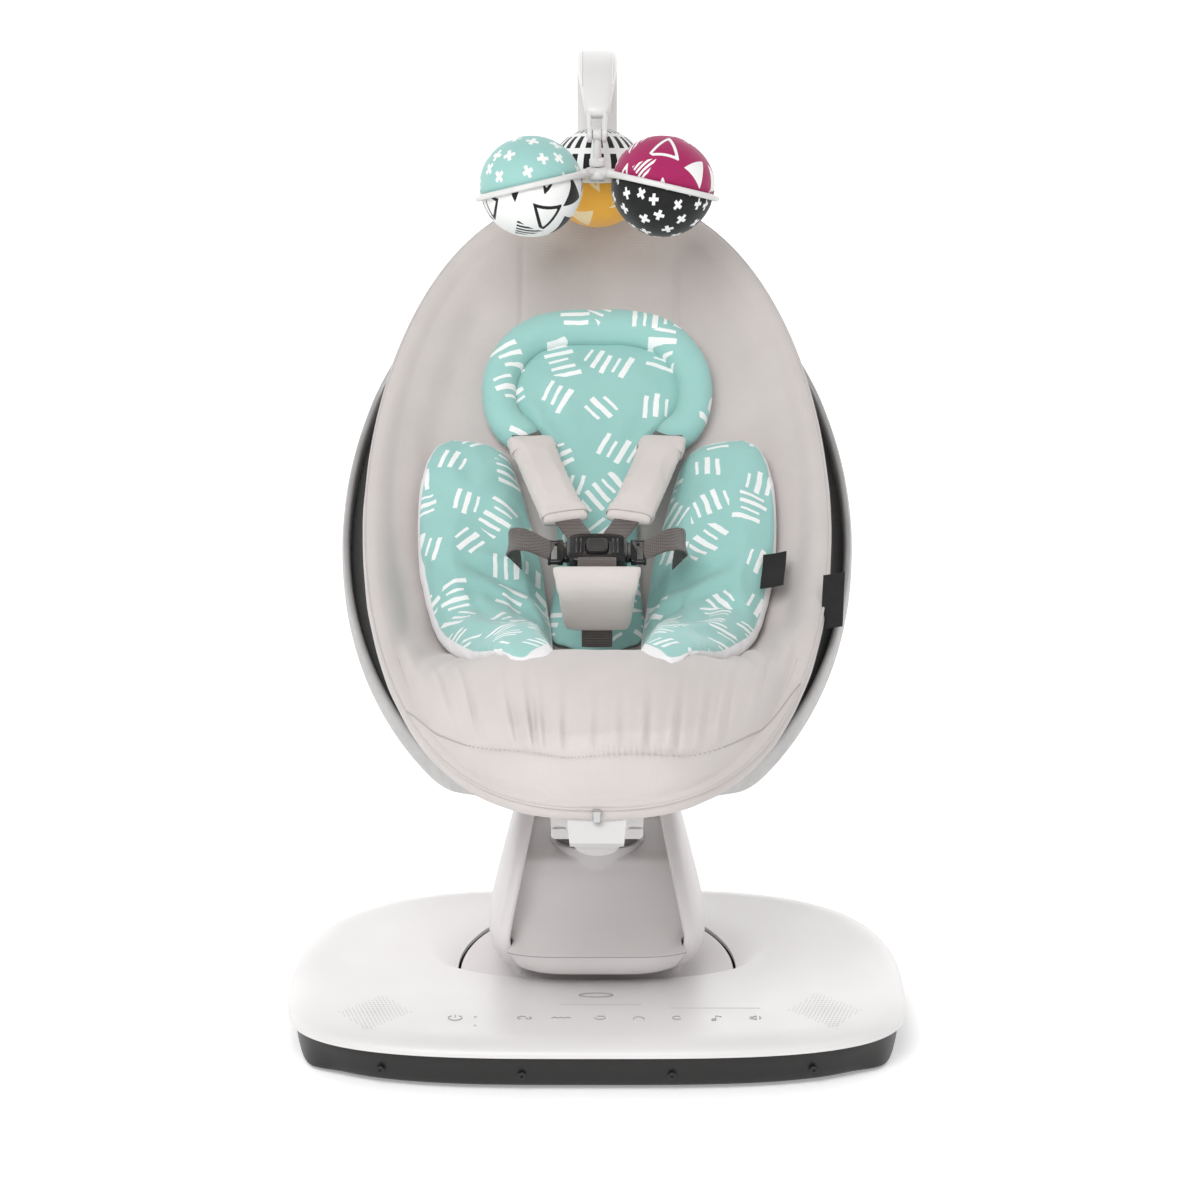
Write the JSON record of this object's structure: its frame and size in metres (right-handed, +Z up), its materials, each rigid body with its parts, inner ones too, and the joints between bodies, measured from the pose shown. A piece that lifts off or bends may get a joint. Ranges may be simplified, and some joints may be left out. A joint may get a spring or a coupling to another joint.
{
  "type": "baby swing",
  "caption": "Powered baby swing: oval base with a swaying, lifting tower, curved recline rail, egg-shaped padded seat, harness, infant insert and toy mobile.",
  "frame": {"origin": "on the floor under the middle of the base, at the underside of the centre foot", "axes": "+Z up, -Y towards the foot end of the seat and the control deck, +X to the right of someone facing the seat"},
  "size_m": [0.482, 0.6262, 0.725],
  "materials": {
    "cover_white": "satin",
    "pan_charcoal": "satin",
    "rubber_black": "matte",
    "screw_steel": "brushed",
    "board_green": "matte",
    "part_black": "matte",
    "motor_grey": "satin",
    "bush_brass": "satin",
    "gear_cream": "satin",
    "tower_white": "satin",
    "spring_steel": "bright",
    "post_grey": "brushed",
    "hub_white": "satin",
    "lever_grey": "satin",
    "rail_grey": "satin",
    "frame_grey": "satin",
    "seat_fabric": "plain weave",
    "mesh_black": "mesh",
    "insert_teal": "printed plush",
    "harness_pad": "plain weave",
    "webbing_brown": "webbing",
    "buckle_black": "gloss",
    "mobile_white": "satin",
    "toy_teal": "jersey",
    "toy_magenta": "jersey",
    "toy_orange": "jersey"
  },
  "bodies": {
    "base": {"base_pan": "pan_charcoal", "base_cover": "cover_white", "rubber_feet": "rubber_black", "base_screws": "screw_steel", "control_board": "board_green", "main_board": "board_green", "speaker_left": "part_black", "speaker_right": "part_black", "sway_motor": "motor_grey", "bearing_plate": "motor_grey", "slew_bush": "bush_brass", "power_inlet": "part_black", "audio_jack": "part_black"},
    "sway_drive": {"sway_pinion": "gear_cream"},
    "turntable": {"turntable_disc": "tower_white", "sway_gear": "gear_cream", "pedestal": "tower_white", "tower_rear_shell": "tower_white", "tower_front_panel": "tower_white", "tower_screws": "screw_steel", "collar_ring": "rubber_black", "guide_rods": "screw_steel", "lift_motor": "motor_grey", "lift_springs": "spring_steel"},
    "lift_drive": {"lift_pinion": "gear_cream"},
    "lift": {"post_tube": "post_grey", "post_rack": "gear_cream", "lift_carriage": "gear_cream", "hub_lower": "hub_white", "hub_cap": "hub_white"},
    "lever": {"recline_lever": "lever_grey"},
    "seat": {"rail": "rail_grey", "rim_tube": "frame_grey", "side_hoop": "frame_grey", "foot_joiner": "rail_grey", "head_joiner": "rail_grey", "sling": "seat_fabric", "side_mesh": "mesh_black", "insert_pillow": "insert_teal", "insert_spine": "insert_teal", "insert_side_left": "insert_teal", "insert_side_right": "insert_teal", "shoulder_pad_left": "harness_pad", "shoulder_pad_right": "harness_pad", "crotch_pad": "harness_pad", "harness_webbing": "webbing_brown", "buckle_housing": "buckle_black", "mobile_socket": "mobile_white"},
    "button": {"buckle_button": "buckle_black"},
    "tongue_left": {"buckle_tongue_left": "buckle_black"},
    "tongue_right": {"buckle_tongue_right": "buckle_black"},
    "arm": {"mobile_arm": "mobile_white"},
    "link": {"mobile_link": "mobile_white"},
    "spider": {"mobile_spider": "mobile_white", "toy_left": "toy_teal", "toy_right": "toy_magenta", "toy_rear": "toy_orange"}
  },
  "joints": [
    {"name": "sway", "type": "hinge", "parent": "base", "child": "turntable", "pos_m": [0, -0.008, 0.038], "axis": [0, -0.1908, 0.9816], "range_deg": [-12, 12]},
    {"name": "sway_drive_spin", "type": "hinge", "parent": "base", "child": "sway_drive", "pos_m": [0, 0.05129, 0.04952], "axis": [0, -0.1908, 0.9816], "range_deg": [-50, 50]},
    {"name": "lift_slide", "type": "slide", "parent": "turntable", "child": "lift", "axis": [0, 0, 1], "range_m": [0, 0.038], "deforming": ["lift_springs"]},
    {"name": "lift_drive_spin", "type": "hinge", "parent": "turntable", "child": "lift_drive", "pos_m": [0, 0.0267, 0.13148], "axis": [1, 0, 0], "range_deg": [-2, 250]},
    {"name": "recline", "type": "hinge", "parent": "lift", "child": "seat", "pos_m": [0, -0.057, 0.561], "axis": [1, 0, 0], "range_deg": [-25, 0]},
    {"name": "recline_lever_pull", "type": "hinge", "parent": "lift", "child": "lever", "pos_m": [0, 0.0896, 0.18883], "axis": [1, 0, 0], "range_deg": [0, 16], "stiffness_Nm_per_rad": 0.12, "springref_deg": -22.92},
    {"name": "buckle_press", "type": "slide", "parent": "seat", "child": "button", "axis": [0, 0.3907, -0.9205], "range_m": [0, 0.0018], "stiffness_N_per_m": 120, "springref_m": -0.002},
    {"name": "tongue_left_pull", "type": "slide", "parent": "seat", "child": "tongue_left", "axis": [-1, 0, 0], "range_m": [0, 0.016]},
    {"name": "tongue_right_pull", "type": "slide", "parent": "seat", "child": "tongue_right", "axis": [1, 0, 0], "range_m": [0, 0.016]},
    {"name": "mobile_arm_pull", "type": "slide", "parent": "seat", "child": "arm", "axis": [0, 0, 1], "range_m": [0, 0.03]},
    {"name": "mobile_swing", "type": "hinge", "parent": "arm", "child": "link", "pos_m": [0, 0.222, 0.668], "axis": [1, 0, 0], "range_deg": [-6, 6]},
    {"name": "mobile_spin", "type": "hinge", "parent": "link", "child": "spider", "pos_m": [0, 0.222, 0.636], "axis": [0, 0, 1], "continuous": true}
  ],
  "couplings": [
    {"joint": "sway_drive_spin", "follows": "sway", "ratio": -4},
    {"joint": "lift_drive_spin", "follows": "lift_slide", "rad_per_m": 111.11}
  ]
}
